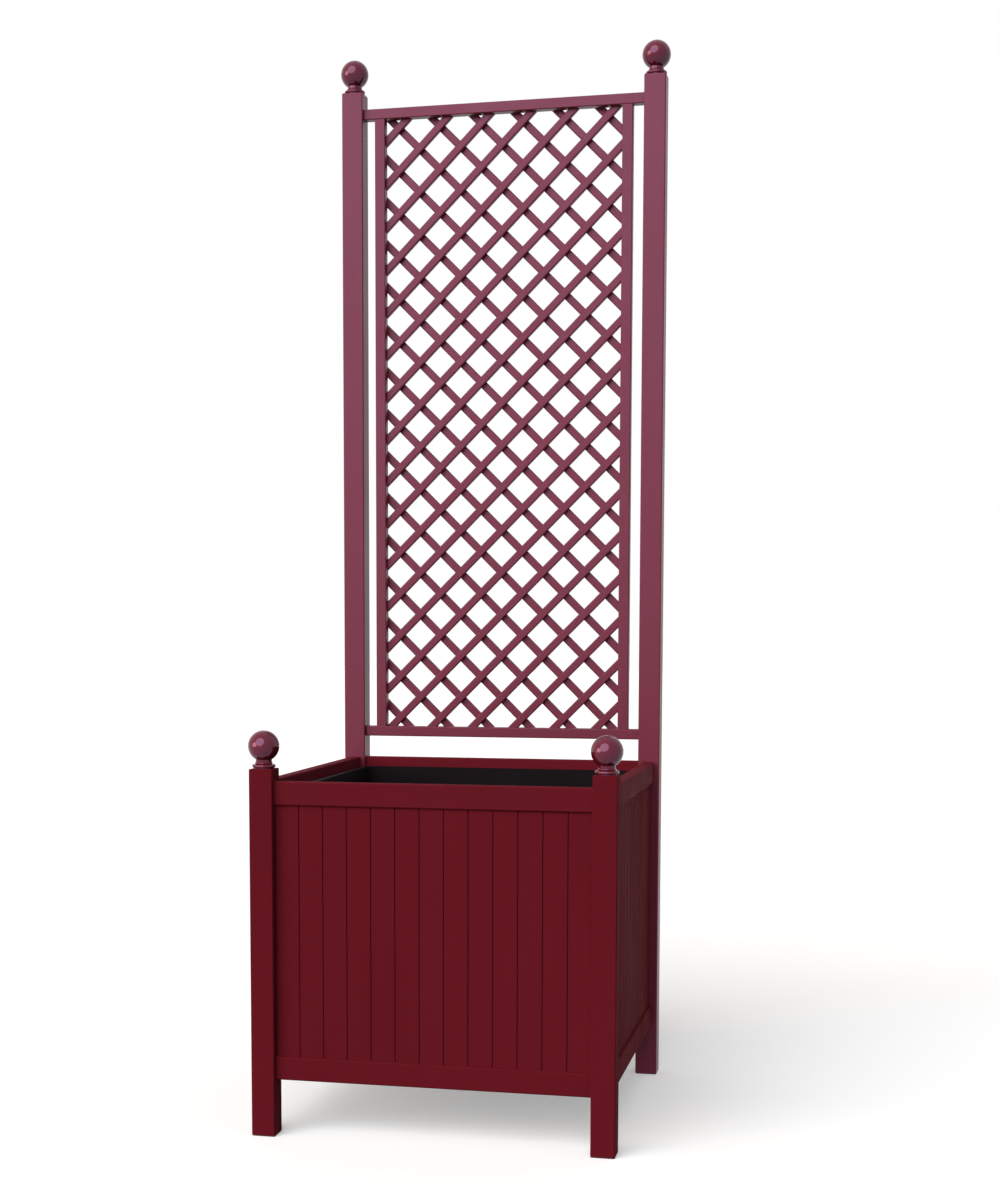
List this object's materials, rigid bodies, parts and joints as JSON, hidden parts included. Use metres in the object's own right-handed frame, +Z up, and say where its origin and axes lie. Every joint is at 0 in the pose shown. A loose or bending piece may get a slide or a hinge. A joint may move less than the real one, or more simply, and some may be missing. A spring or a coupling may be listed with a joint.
{
  "type": "planter with trellis",
  "caption": "Square planter box on post feet with tongue-and-groove sides, ball finials, a lift-out liner and a tall diagonal lattice trellis between its rear posts.",
  "frame": {"origin": "on the ground at the middle of the plan", "axes": "+Z up, the open front towards -Y, the trellis at +Y, +X to the right seen from the front"},
  "size_m": [0.7134, 0.7134, 2.1895],
  "materials": {
    "frame_coat": "gloss",
    "board_coat": "gloss",
    "lath_coat": "gloss",
    "finial_coat": "gloss",
    "mill_aluminium": "satin",
    "foot_plastic": "matte",
    "liner_plastic": "matte"
  },
  "bodies": {
    "planter": {"boards_front": "board_coat", "boards_left": "board_coat", "boards_rear": "board_coat", "boards_right": "board_coat", "bottom_rail_front": "frame_coat", "bottom_rail_front_spigots": "mill_aluminium", "bottom_rail_left": "frame_coat", "bottom_rail_left_spigots": "mill_aluminium", "bottom_rail_rear": "frame_coat", "bottom_rail_rear_spigots": "mill_aluminium", "bottom_rail_right": "frame_coat", "bottom_rail_right_spigots": "mill_aluminium", "cap_front_left": "frame_coat", "cap_front_right": "frame_coat", "cap_rear_left": "frame_coat", "cap_rear_right": "frame_coat", "finial_front_left": "finial_coat", "finial_front_right": "finial_coat", "finial_rear_left": "finial_coat", "finial_rear_right": "finial_coat", "floor_ledger_front": "mill_aluminium", "floor_ledger_rear": "mill_aluminium", "floor_slat_1": "mill_aluminium", "floor_slat_2": "mill_aluminium", "floor_slat_3": "mill_aluminium", "floor_slat_4": "mill_aluminium", "floor_slat_5": "mill_aluminium", "floor_slat_6": "mill_aluminium", "foot_front_left": "foot_plastic", "foot_front_right": "foot_plastic", "foot_rear_left": "foot_plastic", "foot_rear_right": "foot_plastic", "front_laths": "lath_coat", "post_front_left": "frame_coat", "post_front_right": "frame_coat", "post_rear_left": "frame_coat", "post_rear_right": "frame_coat", "rear_laths": "lath_coat", "top_rail_front": "frame_coat", "top_rail_front_spigots": "mill_aluminium", "top_rail_left": "frame_coat", "top_rail_left_spigots": "mill_aluminium", "top_rail_rear": "frame_coat", "top_rail_rear_spigots": "mill_aluminium", "top_rail_right": "frame_coat", "top_rail_right_spigots": "mill_aluminium", "trellis_bottom_rail": "frame_coat", "trellis_bottom_rail_spigots": "mill_aluminium", "trellis_stile_left": "frame_coat", "trellis_stile_left_spigots": "mill_aluminium", "trellis_stile_right": "frame_coat", "trellis_stile_right_spigots": "mill_aluminium", "trellis_top_rail": "frame_coat", "trellis_top_rail_spigots": "mill_aluminium"},
    "liner": {"liner": "liner_plastic"}
  },
  "joints": [
    {"name": "liner_lift", "type": "slide", "parent": "planter", "child": "liner", "axis": [0, 0, 1], "range_m": [0, 0.66]}
  ]
}
